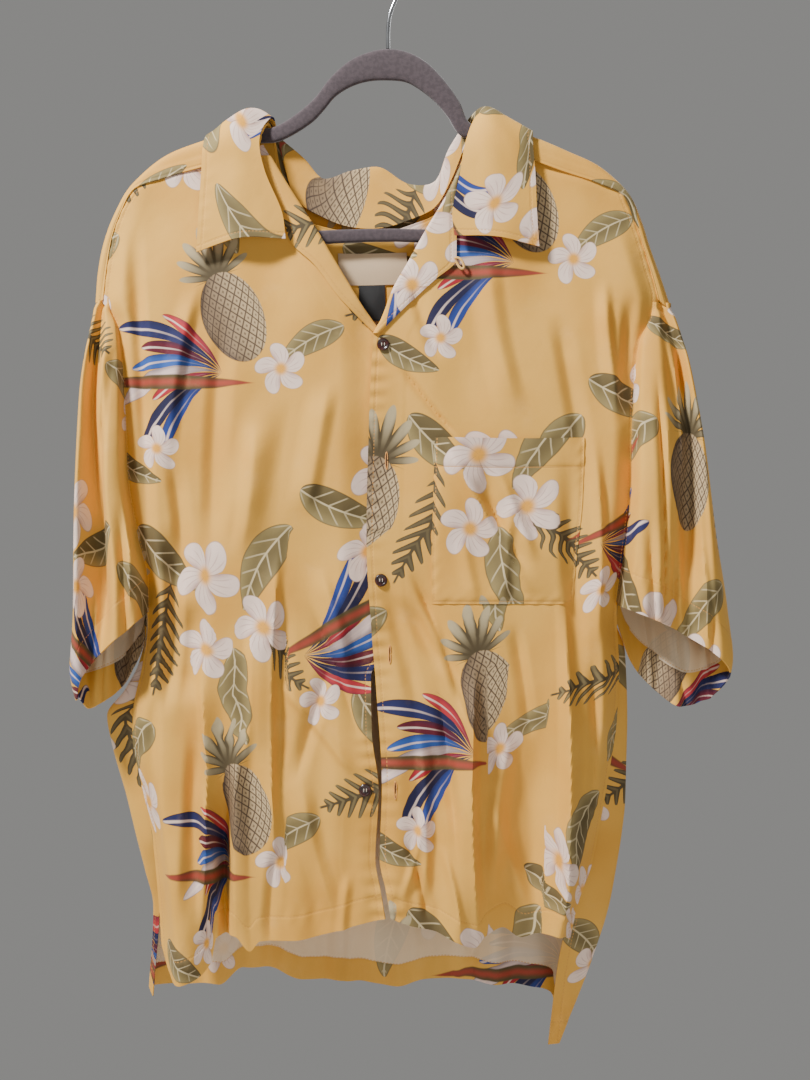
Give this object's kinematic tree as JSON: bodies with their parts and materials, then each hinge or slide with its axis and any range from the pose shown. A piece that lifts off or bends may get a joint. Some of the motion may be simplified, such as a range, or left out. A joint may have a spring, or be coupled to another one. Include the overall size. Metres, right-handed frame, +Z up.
{
  "type": "hawaiian shirt on a hanger",
  "caption": "Short-sleeved floral camp-collar shirt, half buttoned, hanging on a slim hanger whose hook rests on a rail.",
  "frame": {"origin": "top of the inside of the hook, where it rests on a rail", "axes": "+Z up, the shirt's front faces -Y, +X towards the wearer's left"},
  "size_m": [0.5944, 0.0802, 1.0047],
  "materials": {
    "cloth": "soft printed rayon twill",
    "button": "polished dark coconut shell",
    "label": "woven damask, bare",
    "tab": "woven satin, bare",
    "flock": "flocked, velvet to the touch",
    "chrome": "bright"
  },
  "bodies": {
    "root": {"front_right": "cloth", "front_left": "cloth", "back": "cloth", "yoke": "cloth", "collar": "cloth", "lapel_right": "cloth", "lapel_left": "cloth", "sleeve_right": "cloth", "sleeve_left": "cloth", "pocket": "cloth", "button_1": "button", "button_2": "button", "button_3": "button", "button_4": "button", "button_5": "button", "button_loop": "cloth", "neck_label": "label", "size_tab": "tab", "hanger": "flock", "hook": "chrome"}
  },
  "joints": []
}
